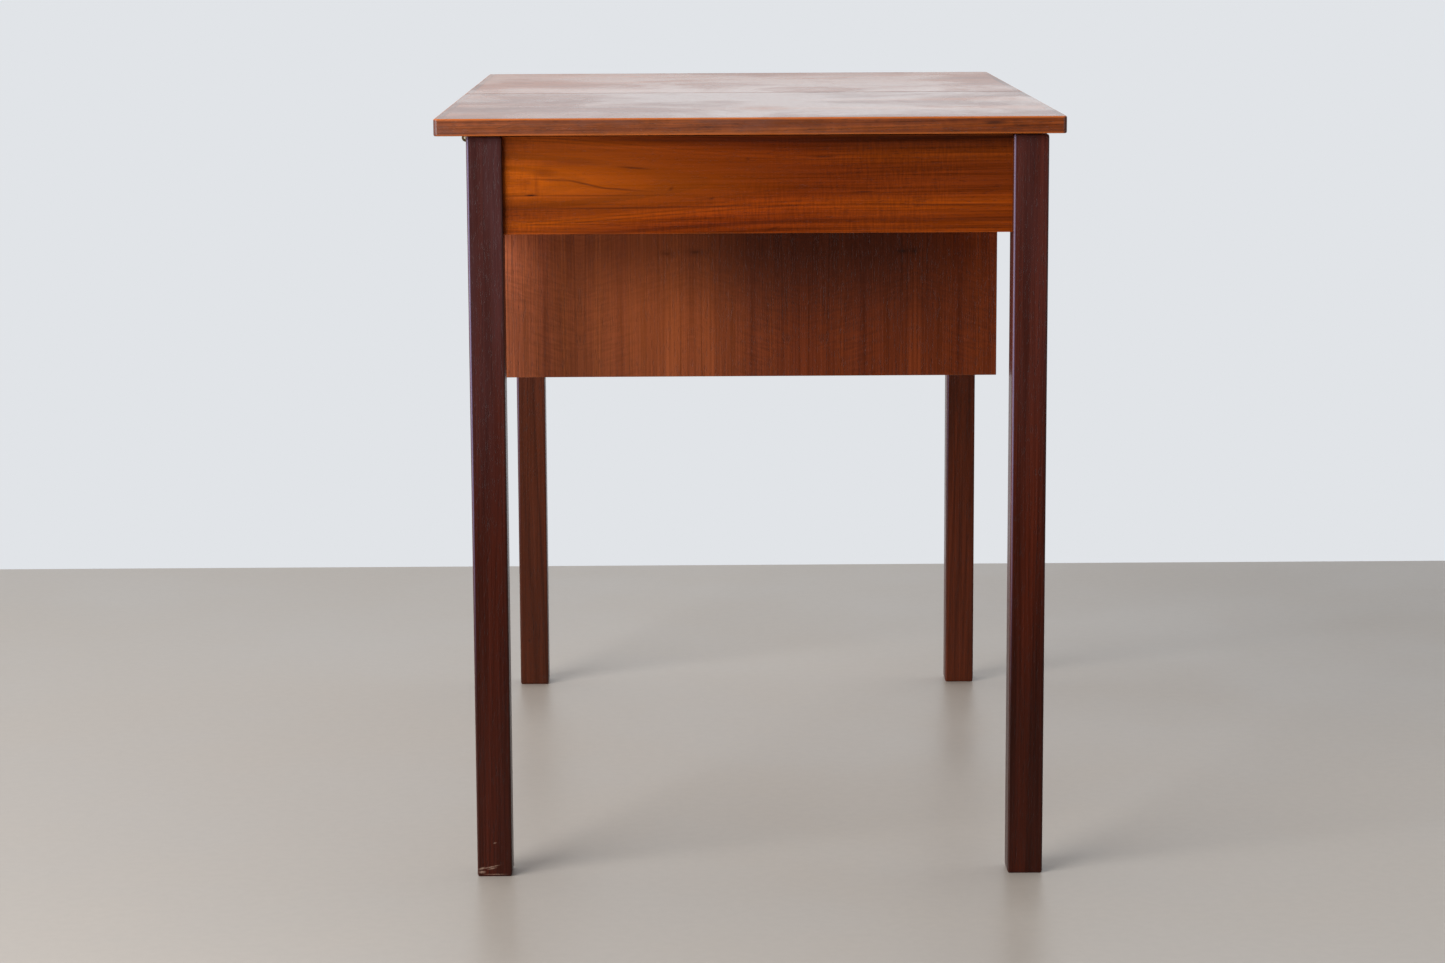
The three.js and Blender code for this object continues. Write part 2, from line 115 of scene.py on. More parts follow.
class Graph:
    """A material under construction. Its methods add shader nodes and return their output sockets."""

    def __init__(self, name):
        self.material = bpy.data.materials.new(name)
        self.material.use_nodes = True
        self.tree = self.material.node_tree
        self.tree.nodes.clear()
        self.shader = self.add("ShaderNodeBsdfPrincipled")
        output = self.add("ShaderNodeOutputMaterial")
        self.tree.links.new(self.shader.outputs[0], output.inputs[0])
        self.point = self.add("ShaderNodeTexCoord").outputs["Object"]

    def add(self, kind, **settings):
        node = self.tree.nodes.new(kind)
        for key, value in settings.items():
            setattr(node, key, value)
        return node

    def put(self, socket, value):
        if isinstance(value, bpy.types.NodeSocket):
            self.tree.links.new(value, socket)
        else:
            socket.default_value = value

    def math(self, operation, *values):
        node = self.add("ShaderNodeMath", operation=operation)
        for socket, value in zip(node.inputs, values):
            self.put(socket, value)
        return node.outputs[0]

    def total(self, *values):
        """The values added up."""
        result = values[0]
        for value in values[1:]:
            result = self.math("ADD", result, value)
        return result

    def product(self, *values):
        """The values multiplied together."""
        result = values[0]
        for value in values[1:]:
            result = self.math("MULTIPLY", result, value)
        return result

    def vector(self, operation, *values):
        node = self.add("ShaderNodeVectorMath", operation=operation)
        for socket, value in zip(node.inputs, values):
            self.put(socket, value)
        return node.outputs[0]

    def axes(self, vector):
        node = self.add("ShaderNodeSeparateXYZ")
        self.put(node.inputs[0], vector)
        return node.outputs

    def join(self, x, y, z):
        node = self.add("ShaderNodeCombineXYZ")
        for socket, value in zip(node.inputs, (x, y, z)):
            self.put(socket, value)
        return node.outputs[0]

    def scaled(self, x, y, z):
        """The surface point with each coordinate multiplied by its own number."""
        return self.vector("MULTIPLY", self.point, Vector((x, y, z)))

    def length(self, vector):
        node = self.add("ShaderNodeVectorMath", operation="LENGTH")
        self.put(node.inputs[0], vector)
        return node.outputs["Value"]

    def noise(self, vector, scale=1.0, detail=2.0, rough=0.5, distortion=0.0, output="Fac"):
        node = self.add("ShaderNodeTexNoise")
        names = ("Vector", "Scale", "Detail", "Roughness", "Distortion")
        for key, value in zip(names, (vector, scale, detail, rough, distortion)):
            self.put(node.inputs[key], value)
        return node.outputs[output]

    def noise_line(self, value, scale, seed, detail):
        """Noise that changes with one number only."""
        node = self.add("ShaderNodeTexNoise", noise_dimensions="1D")
        shifted = self.math("ADD", value, LINE_STEP * (seed + 1))
        for key, number in zip(("W", "Scale", "Detail"), (shifted, scale, detail)):
            self.put(node.inputs[key], number)
        return node.outputs["Fac"]

    def band(self, value, low, high, start=0.0, end=1.0):
        """value carried smoothly from low..high to start..end, and held outside that."""
        node = self.add("ShaderNodeMapRange", interpolation_type="SMOOTHSTEP")
        names = ("Value", "From Min", "From Max", "To Min", "To Max")
        for key, number in zip(names, (value, low, high, start, end)):
            self.put(node.inputs[key], number)
        return node.outputs[0]

    def ramp(self, node_name, axis, low, high, start=0.0, end=1.0):
        """start to end, between those fractions of the node's size along an axis."""
        lowest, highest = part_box(node_name)
        size = highest[axis] - lowest[axis]
        value = self.axes(self.point)[axis]
        return self.band(value, lowest[axis] + low * size, lowest[axis] + high * size, start, end)

    def edge(self, node_name):
        """Distance from a surface point of a box-shaped node to its nearest edge."""
        low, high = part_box(node_name)
        centre, half = (low + high) / 2, (high - low) / 2
        offset = self.vector("ABSOLUTE", self.vector("SUBTRACT", self.point, centre))
        x, y, z = self.axes(self.vector("SUBTRACT", half, offset))
        nearest = self.math("MINIMUM", x, y)
        farther = self.math("MAXIMUM", x, y)
        return self.math("MAXIMUM", nearest, self.math("MINIMUM", farther, z))

    def spot(self, centre, size, soft=0.95):
        """1 in the middle of an ellipsoid of that centre and half size, fading to 0 outside it."""
        offset = self.vector("SUBTRACT", self.point, centre)
        scaled = self.vector("DIVIDE", offset, Vector(size))
        return self.band(self.length(scaled), 1.0 - soft, 1.0 + soft, 1.0, 0.0)

    def streak(self, centre, length, width, slope):
        """1 on a thin mark on a face that looks along Y, fading to 0 round it. slope is its rise over
        its run, and length and width are halves."""
        x, y, z = self.axes(self.vector("SUBTRACT", self.point, centre))
        off = self.math("SUBTRACT", z, self.product(x, slope))
        scaled = self.vector("DIVIDE", self.join(x, y, off), Vector((length, SHALLOW, width)))
        return self.band(self.length(scaled), 0.1, 1.9, 1.0, 0.0)

    def mix(self, factor, first, second, blend="MIX"):
        node = self.add("ShaderNodeMix", data_type="RGBA", blend_type=blend)
        self.put(node.inputs[0], factor)
        self.put(node.inputs[6], first)
        self.put(node.inputs[7], second)
        return node.outputs[2]

    def tint(self, colour, hue):
        """colour multiplied by the colour hue."""
        return self.mix(1.0, colour, hue, "MULTIPLY")

    def shade(self, colour, amount):
        """colour multiplied by the grey value amount."""
        return self.tint(colour, self.join(amount, amount, amount))

    def lift(self, colour, mask, amount):
        """colour made lighter by mask times amount, or darker where that is below 0."""
        return self.shade(colour, self.math("ADD", 1.0, self.product(mask, amount)))

    def stain(self, colour, mask, strength, rgb):
        """colour turned towards an 8-bit tone, by mask times strength."""
        return self.mix(self.product(mask, strength), colour, tone(*rgb))

    def finish(self, colour, roughness, height=None, depth=0.0, metallic=0.0, specular=0.5):
        """The material itself. Its bumps are height times depth, in metres."""
        self.put(self.shader.inputs["Base Color"], colour)
        self.put(self.shader.inputs["Roughness"], roughness)
        self.shader.inputs["Metallic"].default_value = metallic
        self.shader.inputs["Specular IOR Level"].default_value = specular
        if height is not None:
            bump = self.add("ShaderNodeBump")
            bump.inputs["Strength"].default_value = 1.0
            bump.inputs["Distance"].default_value = depth
            self.put(bump.inputs["Height"], height)
            self.put(self.shader.inputs["Normal"], bump.outputs[0])
        return self.material


# ---------------------------------------------------------------- wood
class Wood:
    """How one kind of wood looks. Every frequency is per metre, down or across the grain."""

    def __init__(self, **given):
        self.dark = (90, 45, 20)
        self.light = (150, 85, 45)
        self.pore = (45, 22, 12)
        self.streaks = 40  # broad bands of dark and light wood
        self.streak_range = (0.3, 0.7)
        self.rings = 230  # growth lines
        self.ring_range = (0.52, 0.72)
        self.ring_depth = 0.25
        self.sway = 0.03  # how far the growth lines wander
        self.taper = 0.02  # how fast they run out of the board
        self.fibres = 300
        self.fibre_depth = 0.16
        self.pores = 1300
        self.pore_depth = 0.5
        self.pore_range = (0.60, 0.72)
        self.ripple = 0.03  # strength of the fine marks across the grain
        self.ripples = 420
        self.ripple_slant = 0.0
        self.roughness = (0.30, 0.48)
        self.specular = 0.4
        self.coat = 0.0
        self.coat_roughness = 0.2
        self.relief = 0.6  # height of the fibres, beside a pore's depth of 1
        self.depth = 0.00012  # a pore's depth in metres
        self.wear = 0.0  # how far the edges lighten
        self.wear_tone = (185, 105, 50)
        self.wear_width = 1.6 * MM
        self.__dict__.update(given)


GOLDEN_ANGLE = math.radians(137.5)
PITH_DISTANCE = 0.16  # from a board's middle to the middle of the tree it was sawn from
LEAVES_BEFORE = 20.5  # veneer leaves counted up to a board's middle, from well outside it
LEAF_DRIFT = 0.08  # how much the figure changes from leaf to leaf, as a part of a leaf's width
# The place in the noise of each feature of a wood, and the step to the next place.
NOISE_PLACES = {"sway": 0, "fibre": 3, "pore": 4, "cloud": 5, "ripple": 6, "painted_sheen": 8}
NOISE_STEP = (7.13, 3.71, 5.37)


class Board:
    """Where a node's wood was sawn from. axis is its grain's way, pith is the tree's middle seen from
    the board's middle, and leaf is the width of mirrored veneer leaves along the axis leaf_axis. Each
    of the bulges pushes the growth lines aside: it has a centre, a half size and a distance."""

    def __init__(self, name, axis, seed, pith=None, leaf=None, leaf_axis=X, bulges=()):
        self.name = name
        self.axis = axis
        self.seed = seed
        low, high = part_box(name)
        self.centre = (low + high) / 2
        if pith is None:
            pith = [0.0, 0.0, 0.0]
            first, second = [i for i in range(3) if i != axis]
            pith[first] = PITH_DISTANCE * math.cos(seed * GOLDEN_ANGLE)
            pith[second] = PITH_DISTANCE * math.sin(seed * GOLDEN_ANGLE)
        self.pith = Vector(pith)
        self.leaf = leaf
        self.leaf_axis = leaf_axis
        self.bulges = bulges

    def stretch(self, graph, point, along, across, feature):
        """point scaled by along down the grain and by across the other two ways, and moved to the
        feature's own place in the noise."""
        scale = [across] * 3
        scale[self.axis] = along
        node = graph.add("ShaderNodeMapping")
        graph.put(node.inputs["Vector"], point)
        node.inputs["Scale"].default_value = scale
        place = self.seed + NOISE_PLACES[feature]
        node.inputs["Location"].default_value = [place * step for step in NOISE_STEP]
        return node.outputs[0]


def growth_depth(graph, wood, board):
    """The surface point inside the board, and how far it is from the tree's middle."""
    point = graph.vector("SUBTRACT", graph.point, board.centre)
    if board.leaf:
        parts = list(graph.axes(point))
        across = parts[board.leaf_axis]
        mirrored = graph.math("ADD", across, board.leaf * LEAVES_BEFORE)
        mirrored = graph.math("PINGPONG", mirrored, board.leaf)
        parts[board.leaf_axis] = graph.total(mirrored, graph.product(across, LEAF_DRIFT))
        point = graph.join(*parts)
    sway = graph.noise(board.stretch(graph, point, 1.4, 5.0, "sway"), detail=2.0, output="Color")
    sway = graph.vector("MULTIPLY", graph.vector("SUBTRACT", sway, (0.5,) * 3), (wood.sway,) * 3)
    point = graph.vector("ADD", point, sway)
    only_across = Vector((1.0, 1.0, 1.0))
    only_across[board.axis] = 0.0
    radius = graph.vector("MULTIPLY", graph.vector("SUBTRACT", point, board.pith), only_across)
    along = graph.axes(point)[board.axis]
    depth = graph.total(graph.length(radius), graph.product(along, wood.taper))
    for centre, size, distance in board.bulges:
        depth = graph.total(depth, graph.product(graph.spot(centre, size, 0.98), distance))
    return point, depth


def add_ripple(graph, wood, board, point, colour):
    """Fine marks across the grain, in patches."""
    x, y, z = graph.axes(point)
    slanted = graph.join(x, y, graph.total(z, graph.product(x, wood.ripple_slant)))
    curl = graph.noise(board.stretch(graph, slanted, wood.ripples, 80.0, "ripple"), detail=2.0)
    curl = graph.band(curl, 0.3, 0.7, -wood.ripple, wood.ripple)
    patch = graph.band(graph.noise(point, 11.0, 1.0), 0.35, 0.6)
    return graph.lift(colour, curl, patch)


def grow(graph, wood, board):
    """The colour, roughness and height of a board's surface."""
    point, depth = growth_depth(graph, wood, board)
    streak = graph.noise_line(depth, wood.streaks, board.seed, 2.0)
    ring = graph.noise_line(depth, wood.rings, board.seed + 0.5, 2.0)
    fibre = graph.noise(board.stretch(graph, point, 6.0, wood.fibres, "fibre"), detail=4.0, rough=0.65)
    pore = graph.noise(board.stretch(graph, point, 95.0, wood.pores, "pore"), detail=1.0)
    pore = graph.band(pore, *wood.pore_range)
    cloud = graph.noise(board.stretch(graph, point, 4.0, 12.0, "cloud"), detail=2.0)

    colour = graph.mix(graph.band(streak, *wood.streak_range), tone(*wood.dark), tone(*wood.light))
    colour = graph.shade(colour, graph.band(cloud, 0.3, 0.7, 0.92, 1.08))
    ring = graph.product(graph.band(ring, *wood.ring_range), graph.band(cloud, 0.35, 0.65, 0.5, 1.0))
    colour = graph.lift(colour, ring, -wood.ring_depth)
    change = wood.fibre_depth
    colour = graph.shade(colour, graph.band(fibre, 0.25, 0.75, 1.0 - change, 1.0 + change))
    if wood.ripple:
        colour = add_ripple(graph, wood, board, point, colour)
    colour = graph.stain(colour, pore, wood.pore_depth, wood.pore)
    roughness = graph.band(fibre, 0.25, 0.75, *wood.roughness)
    height = graph.math("SUBTRACT", graph.product(fibre, wood.relief), pore)
    return colour, roughness, height


def wear_edges(graph, wood, board, colour):
    """Lightens the arrises, more in some places than in others."""
    rub = graph.band(graph.noise(graph.point, 14.0 + board.seed % 5, 3.0, 0.7), 0.3, 0.65, 0.35, 1.0)
    near = graph.band(graph.edge(board.name), 0.0, wood.wear_width, 1.0, 0.0)
    return graph.stain(colour, graph.product(rub, near), wood.wear, wood.wear_tone)


def finish_wood(graph, wood, board, colour, roughness, height):
    if wood.wear:
        colour = wear_edges(graph, wood, board, colour)
    graph.shader.inputs["Coat Weight"].default_value = wood.coat
    graph.shader.inputs["Coat Roughness"].default_value = wood.coat_roughness
    return graph.finish(colour, roughness, height, wood.depth, specular=wood.specular)


def plain_wood(wood, board):
    graph = Graph(board.name)
    return finish_wood(graph, wood, board, *grow(graph, wood, board))


def grain_of(name):
    """The axis that a board's grain runs along: its longest way."""
    low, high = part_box(name)
    size = high - low
    return max(range(3), key=lambda axis: size[axis])


TEAK_APRON = Wood(
    dark=(110, 42, 3),
    light=(154, 66, 3),
    pore=(52, 18, 6),
    streaks=55,
    rings=330,
    ring_range=(0.5, 0.62),
    ring_depth=0.38,
    sway=0.012,
    taper=0.0,
    fibres=520,
    fibre_depth=0.3,
    pore_depth=0.3,
    ripple=0.14,
    ripples=560,
    specular=0.14,
    wear=0.3,
    wear_tone=(176, 88, 30),
)
TEAK_WELL = Wood(
    dark=(121, 58, 28),
    light=(136, 68, 31),
    pore=(66, 28, 14),
    streaks=45,
    rings=560,
    ring_depth=0.36,
    sway=0.012,
    fibres=640,
    fibre_depth=0.3,
    pore_depth=0.4,
    ripple=0.13,
    ripples=380,
    ripple_slant=0.3,
    roughness=(0.38, 0.55),
    specular=0.18,
    wear=0.25,
    wear_tone=(140, 78, 44),
)
TEAK_TOP = Wood(
    dark=(140, 66, 26),
    light=(184, 98, 42),
    pore=(74, 36, 18),
    streaks=30,
    rings=260,
    ring_range=(0.5, 0.68),
    ring_depth=0.3,
    sway=0.04,
    taper=0.05,
    pore_depth=0.35,
    roughness=(0.34, 0.5),
    specular=0.48,
    coat=0.26,
    coat_roughness=0.18,
)
TEAK_EDGE = Wood(
    dark=(112, 54, 28),
    light=(146, 76, 36),
    pore=(56, 24, 14),
    streaks=220,
    rings=500,
    ring_depth=0.3,
    sway=0.012,
    fibres=500,
    fibre_depth=0.22,
    specular=0.42,
    coat=0.22,
    coat_roughness=0.18,
    wear=0.25,
    wear_tone=(222, 112, 24),
    wear_width=2.2 * MM,
)
DARK_WOOD = Wood(
    dark=(58, 21, 11),
    light=(72, 27, 14),
    pore=(28, 10, 7),
    streaks=110,
    rings=620,
    ring_depth=0.3,
    sway=0.012,
    fibres=700,
    fibre_depth=0.3,
    pore_depth=0.4,
    ripple=0.02,
    roughness=(0.30, 0.44),
    specular=0.14,
    coat=0.05,
    wear=0.3,
    wear_tone=(118, 76, 64),
    wear_width=1.4 * MM,
)
BEECH = Wood(
    dark=(178, 134, 92),
    light=(200, 158, 114),
    pore=(140, 96, 62),
    rings=300,
    ring_depth=0.08,
    fibre_depth=0.06,
    pores=700,
    pore_depth=0.55,
    pore_range=(0.62, 0.68),
    roughness=(0.45, 0.6),
    wear=0.2,
    wear_tone=(208, 172, 130),
)
PLYWOOD = Wood(
    dark=(196, 158, 112),
    light=(214, 180, 136),
    pore=(160, 120, 80),
    streaks=16,
    rings=90,
    ring_depth=0.1,
    sway=0.08,
    taper=0.12,
    fibre_depth=0.05,
    pore_depth=0.2,
    roughness=(0.5, 0.65),
)


# ---------------------------------------------------------------- woods with marks of their own
def place_on(name, right, up):
    """A point on the node's front face, at those fractions of its width and height."""
    low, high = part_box(name)
    return Vector((low.x + right * (high.x - low.x), low.y, low.z + up * (high.z - low.z)))


def place_on_top(right, back):
    """A point on the closed top, at those fractions of the way from its middle to its edges."""
    high = CAD_BOX[1]
    return Vector((right * high[X], back * high[Y], high[Z]))


# The apron's dark marks: fractions of its width and height, half length and half width in
# millimetres, slope and strength.
APRON_MARKS = (
    (0.055, 0.40, 4.6, 0.75, 0.0, 1.0),
    (0.14, 0.395, 70, 0.7, 0.0, 0.35),
    (0.30, 0.27, 130, 0.8, 0.01, 0.5),
    (0.10, 0.555, 18, 0.8, -0.05, 0.45),
    (0.165, 0.51, 16, 0.8, -0.22, 0.6),
    (0.225, 0.46, 20, 0.8, -0.08, 0.55),
    (0.257, 0.675, 12, 0.8, -0.08, 0.6),
    (0.40, 0.95, 110, 0.9, -0.01, 0.4),
    (0.33, 0.46, 2, 1.3, 0.4, 0.45),
    (0.41, 0.36, 1.8, 1.1, 0.4, 0.4),
    (0.628, 0.78, 10, 0.8, 0.0, 0.65),
    (0.48, 0.76, 2, 0.8, 0.0, 0.4),
    (0.708, 0.42, 9, 0.6, 0.02, 0.7),
    (0.86, 0.285, 75, 0.8, -0.01, 0.55),
    (0.68, 0.12, 3, 0.9, 0.0, 0.45),
    (0.53, 0.05, 5, 0.9, 0.3, 0.45),
)
# Its soft smudges: fractions of its width and height, half length and half width in millimetres.
APRON_SMUDGES = ((0.082, 0.63, 8, 4), (0.066, 0.49, 1.6, 8), (0.043, 0.52, 7, 4), (0.13, 0.73, 22, 3))
# What its colour is multiplied by at the left, beside the amber patch and at the right.
APRON_HUES = ((1.13, 1.2, 1.6, 1.0), (0.79, 0.67, 0.35, 1.0), (0.90, 0.86, 0.5, 1.0))
APRON_PITH = 11 * MM  # how far behind the board the tree's middle lies


def apron_wood(name, seed):
    """The front apron: its growth lines close in arches towards the right of an amber patch at the left,
    and run straight elsewhere. It is redder to the right, with a russet patch between that is partly
    painted shadow, and painted shade darkens it towards the lid, most at the right; it is a little lighter
    at the bottom."""
    low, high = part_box(name)
    heart = place_on(name, 0.16, 0.56)
    pith = (0.0, (high.y - low.y) / 2 + APRON_PITH, heart.z - (low.z + high.z) / 2)
    bulge = (heart - Vector((100 * MM, 0.0, 0.0)), (0.16, THROUGH, THROUGH), -13 * MM)
    board = Board(name, X, seed, pith=pith, bulges=(bulge,))
    graph = Graph(name)
    colour, roughness, height = grow(graph, TEAK_APRON, board)
    left_hue, middle_hue, right_hue = APRON_HUES
    hue = graph.mix(graph.ramp(name, X, 0.0, 0.42), left_hue, middle_hue)
    far_right = graph.ramp(name, X, 0.5, 0.8)
    colour = graph.tint(colour, graph.mix(far_right, hue, right_hue))
    # Painted shade: darker at the upper right and towards the lid, as the lid's overhang shadows it, and
    # painted light makes it a little lighter at the bottom.
    painted_shade = graph.product(far_right, graph.ramp(name, Z, 0.6, 1.0))
    colour = graph.lift(colour, painted_shade, -0.32)
    colour = graph.shade(colour, graph.ramp(name, Z, 0.45, 1.0, 1.0, 0.68))
    colour = graph.shade(colour, graph.ramp(name, Z, 0.0, 0.4, 1.1, 1.0))
    amber = graph.spot(place_on(name, 0.19, 0.60), (0.12, THROUGH, 0.024))
    colour = graph.stain(colour, amber, 0.45, (192, 92, 4))
    # The russet patch: partly the wood's own redder tone, partly a painted shadow under the lid.
    russet = graph.spot(place_on(name, 0.36, 0.72), (0.10, THROUGH, 0.020))
    colour = graph.stain(colour, russet, 0.45, (102, 34, 2))
    for right, up, length, width in APRON_SMUDGES:
        smudge = graph.spot(place_on(name, right, up), (length * MM, SHALLOW, width * MM))
        colour = graph.stain(colour, smudge, 0.38, (92, 34, 4))
    for right, up, length, width, slope, strength in APRON_MARKS:
        mark = graph.streak(place_on(name, right, up), length * MM, width * MM, slope)
        colour = graph.stain(colour, mark, strength, TEAK_APRON.pore)
    return finish_wood(graph, TEAK_APRON, board, colour, roughness, height)


# What the well's front is multiplied by at the left and at the right: painted light at the left, painted
# shade at the right.
WELL_LIGHT_HUES = ((1.12, 1.22, 1.75, 1.0), (0.46, 0.32, 0.16, 1.0))
# Its pin knots: fractions of its width and height, width in millimetres and strength.
WELL_KNOTS = (
    (0.338, 0.500, 5.0, 1.3),
    (0.395, 0.506, 4.5, 1.7),
    (0.810, 0.506, 4.0, 1.5),
    (0.834, 0.506, 2.2, 1.4),
)


def well_front_wood(name, seed):
    """The well's front: mirrored veneer leaves, upright grain and two pairs of pin knots. Painted light and
    shade make it lighter at the left and darker to the right, darker still under the apron, and lighter at
    both ends just below the apron. A patch near the left is amber, and a painted shadow lies right of the
    middle."""
    board = Board(name, Z, seed, pith=(-0.20, 0.04, 0.0), leaf=0.107)
    graph = Graph(name)
    colour, roughness, height = grow(graph, TEAK_WELL, board)
    for right, up, width, strength in WELL_KNOTS:
        place = place_on(name, right, up)
        halo = graph.spot(place, (1.6 * width * MM, SHALLOW, 3.2 * MM))
        core = graph.spot(place, (0.8 * width * MM, SHALLOW, 1.1 * MM), 0.9)
        colour = graph.stain(colour, halo, 0.3 * strength, (60, 26, 14))
        colour = graph.stain(colour, core, 0.5 * strength, (30, 13, 9))
    # Painted light and shade: lighter at the left, darker to the right, a painted shadow of the apron across
    # the upper right part, and a little painted light at the right end.
    darker = graph.ramp(name, X, 0.15, 0.64)
    colour = graph.tint(colour, graph.mix(darker, *WELL_LIGHT_HUES))
    colour = graph.lift(colour, darker, graph.ramp(name, Z, 0.0, 0.6, 0.14, -0.22))
    colour = graph.shade(colour, graph.ramp(name, X, 0.75, 0.96, 1.0, 1.04))
    # Painted light at both upper ends, just below the apron.
    right_corner_light = graph.spot(place_on(name, 1.0, 0.64), (0.06, THROUGH, 0.055))
    colour = graph.lift(colour, right_corner_light, 1.35)
    left_corner_light = graph.spot(place_on(name, 0.0, 0.62), (0.05, THROUGH, 0.045))
    colour = graph.lift(colour, left_corner_light, 0.4)
    amber = graph.spot(place_on(name, 0.29, 0.36), (0.07, THROUGH, 0.09))
    colour = graph.stain(colour, amber, 0.32, (166, 80, 22))
    # A painted shadow right of the middle, under the apron.
    painted_shade = graph.spot(place_on(name, 0.66, 0.54), (0.15, THROUGH, 0.056))
    colour = graph.stain(colour, painted_shade, 0.52, (56, 19, 4))
    return finish_wood(graph, TEAK_WELL, board, colour, roughness, height)


MILKY_TONE = (238, 170, 118)
RUBBED_TONE = (206, 112, 56)


def add_haze(graph, colour, roughness):
    """The lids' upper faces, where wiping has left the lacquer milky in clouds and a few arcs. It is
    duller towards the rear and the left, and rubbed in one small place near the front."""
    edge_x, edge_y, top = CAD_BOX[1]
    x, y, z = graph.axes(graph.point)
    cloud = graph.noise(graph.scaled(1.0, 0.75, 1.0), 6.5, 4.0, 0.6, 0.4)
    centre = place_on_top(0.206, 0.133)
    arc = graph.length(graph.vector("SUBTRACT", graph.point, centre))
    arc = graph.total(arc, graph.product(cloud, 0.07))
    wiped = graph.math("SUBTRACT", graph.noise_line(arc, 10.0, 1, 3.0), 0.5)
    wiped = graph.product(wiped, graph.spot(centre, (0.24, 0.30, THROUGH)), 0.45)
    clearer = graph.band(x, 0.275 * edge_x, edge_x, 0.0, -0.03)
    milky = graph.spot(place_on_top(0.24, -0.178), (0.16, 0.20, THROUGH))
    haze = graph.total(cloud, wiped, clearer, graph.product(milky, 0.09))
    haze = graph.band(haze, 0.30, 0.66)

    upper = graph.band(z, top - 0.6 * MM, top - 0.2 * MM)
    amount = graph.product(upper, graph.band(haze, 0.0, 1.0, 0.06, 0.24))
    colour = graph.mix(amount, colour, tone(*MILKY_TONE))
    rubbed = graph.spot(place_on_top(0.055, -0.667), (0.02, 0.035, 0.01))
    colour = graph.stain(colour, rubbed, 0.3, RUBBED_TONE)
    satin = graph.total(
        graph.band(haze, 0.0, 1.0, 0.28, 0.15),
        graph.product(rubbed, 0.1),
        graph.band(y, 0.0, edge_y, 0.0, 0.1),
        graph.band(x, -edge_x, -0.206 * edge_x, 0.06, 0.0),
    )
    change = graph.product(upper, graph.math("SUBTRACT", satin, roughness))
    return colour, graph.total(roughness, change)


def top_wood(name, seed):
    """The lids' faces: veneer leaves under hazy lacquer."""
    board = Board(name, X, seed, pith=(0.0, 0.075, -0.12), leaf=0.148, leaf_axis=Y)
    graph = Graph(name)
    colour, roughness, height = grow(graph, TEAK_TOP, board)
    colour, roughness = add_haze(graph, colour, roughness)
    return finish_wood(graph, TEAK_TOP, board, colour, roughness, height)


# What the front lipping is multiplied by at the left and at the right.
LIPPING_HUES = ((1.02, 1.02, 0.95, 1.0), (0.72, 0.54, 0.12, 1.0))
# The flecks of its knot: fractions of its width and height, half length and half width in
# millimetres, and strength.
LIPPING_KNOT = ((0.885, 0.66, 9, 1.6, 0.8), (0.93, 0.45, 5, 1.0, 0.5))


def front_lipping_colour(graph, name, colour):
    """The front lipping is mottled, reddens to the right, and has a knot near its right end."""
    redder = graph.ramp(name, X, 0.35, 1.0)
    colour = graph.tint(colour, graph.mix(redder, *LIPPING_HUES))
    mottle = graph.noise(graph.scaled(55.0, 1.0, 90.0), 1.0, 3.0, 0.6)
    colour = graph.shade(colour, graph.band(mottle, 0.3, 0.7, 0.84, 1.14))
    patch = graph.band(graph.noise(graph.scaled(14.0, 1.0, 70.0), 1.0, 2.0), 0.5, 0.68)
    colour = graph.stain(colour, patch, 0.5, (110, 66, 52))
    for right, up, length, width, strength in LIPPING_KNOT:
        fleck = graph.spot(place_on(name, right, up), (length * MM, 4 * MM, width * MM), 0.9)
        colour = graph.stain(colour, fleck, strength, (48, 20, 10))
    return colour


def outer_arris(graph, name):
    """0.85 on a lipping's upper edges along the outside of the top, and 0.45 on the lower ones."""
    low, high = CAD_BOX
    point = graph.axes(graph.point)
    z = point[Z]
    inwards = high[X] - low[X]
    for axis in (X, Y):
        from_low = graph.math("SUBTRACT", point[axis], low[axis])
        from_high = graph.math("SUBTRACT", high[axis], point[axis])
        inwards = graph.math("MINIMUM", inwards, graph.math("MINIMUM", from_low, from_high))
    return graph.product(
        graph.band(graph.edge(name), 0.0, 2.6 * MM, 1.0, 0.0),
        graph.band(inwards, 3 * MM, 5 * MM, 1.0, 0.0),
        graph.band(z, high[Z] - 3 * MM, high[Z] - 0.5 * MM, 0.45, 0.85),
    )


def front_corner_shade(graph, name):
    """0.85 on the front lipping's two ends, where it turns the corner, up to just below the top: painted
    shade on the rounded corners.
    """
    low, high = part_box(name)
    point = graph.axes(graph.point)
    left = graph.band(point[X], low.x + 1.5 * MM, low.x + 4 * MM, 1.0, 0.0)
    right = graph.band(point[X], high.x - 4 * MM, high.x - 1.5 * MM)
    below = graph.band(point[Z], high.z - 1.5 * MM, high.z - 0.5 * MM, 0.85, 0.0)
    return graph.product(graph.math("MAXIMUM", left, right), below)


def seam_shade(graph, name):
    """0.85 on a lipping's front edge towards the right, fading to 0.1 at the middle: painted shade in the
    seam between the lids.
    """
    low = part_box(name)[0]
    y = graph.axes(graph.point)[Y]
    edge = graph.band(y, low.y + 1.5 * MM, low.y + 3.5 * MM, 1.0, 0.0)
    return graph.product(edge, graph.ramp(name, X, 0.534, 0.775, 0.1, 0.85))


